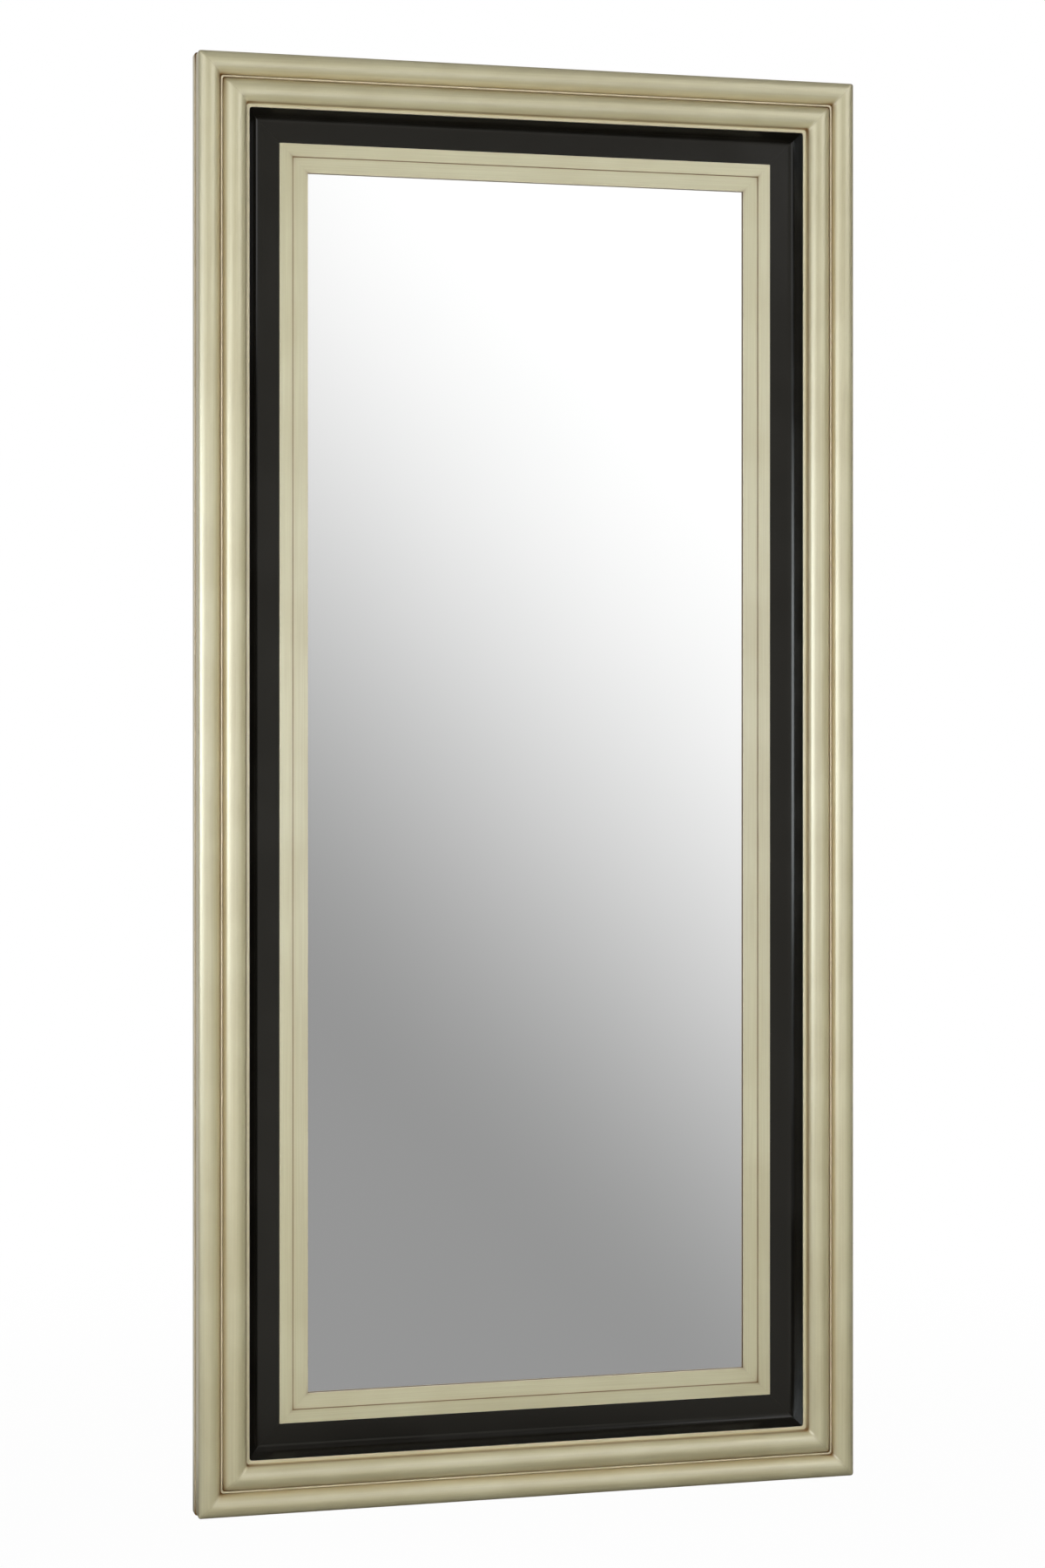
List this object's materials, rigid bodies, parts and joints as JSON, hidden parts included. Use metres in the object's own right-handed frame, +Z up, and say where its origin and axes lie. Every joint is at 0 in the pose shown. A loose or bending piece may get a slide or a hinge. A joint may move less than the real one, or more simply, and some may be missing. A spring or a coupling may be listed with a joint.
{
  "type": "full-length wall mirror",
  "caption": "Tall framed wall mirror: stepped, mitred champagne-gold and black mouldings round a flat silvered pane, with a backing board and swinging hanging rings behind.",
  "frame": {"origin": "middle of the mirror on the wall plane, where the faces of the rear feet lie", "axes": "+Z up, +Y into the wall, so the mirror faces -Y, and +X to the right as seen from the front"},
  "size_m": [0.9, 0.0545, 1.9],
  "materials": {
    "gilded_moulding": "satin champagne gilding",
    "gilded_slip": "satin champagne gilding",
    "black_liner": "satin black paint",
    "silvered_glass": "silvered, polished",
    "backing_board": "raw hardboard",
    "plated_steel": "zinc plated",
    "ring_wire": "zinc plated",
    "screw_steel": "zinc plated",
    "soft_rubber": "matt",
    "packer_plastic": "matt"
  },
  "bodies": {
    "frame": {"outer_moulding_top": "gilded_moulding", "black_liner_top": "black_liner", "slip_top": "gilded_slip", "outer_moulding_bottom": "gilded_moulding", "black_liner_bottom": "black_liner", "slip_bottom": "gilded_slip", "outer_moulding_left": "gilded_moulding", "black_liner_left": "black_liner", "slip_left": "gilded_slip", "outer_moulding_right": "gilded_moulding", "black_liner_right": "black_liner", "slip_right": "gilded_slip", "mirror_glass": "silvered_glass", "backing_board": "backing_board", "corner_plate_bottom_left": "plated_steel", "corner_plate_bottom_right": "plated_steel", "corner_plate_top_right": "plated_steel", "corner_plate_top_left": "plated_steel", "hanger_strap_left": "plated_steel", "hanger_strap_right": "plated_steel", "plate_screws": "screw_steel", "hanger_screws": "screw_steel", "board_screws": "screw_steel", "liner_clips": "plated_steel", "wall_bumpers": "soft_rubber", "glass_packers": "packer_plastic"},
    "ring_left": {"hanger_ring_left": "ring_wire"},
    "ring_right": {"hanger_ring_right": "ring_wire"}
  },
  "joints": [
    {"name": "ring_left_swing", "type": "hinge", "parent": "frame", "child": "ring_left", "pos_m": [-0.421, -0.0046, 0.5], "axis": [1, 0, 0], "range_deg": [0, 180]},
    {"name": "ring_right_swing", "type": "hinge", "parent": "frame", "child": "ring_right", "pos_m": [0.421, -0.0046, 0.5], "axis": [1, 0, 0], "range_deg": [0, 180]}
  ]
}
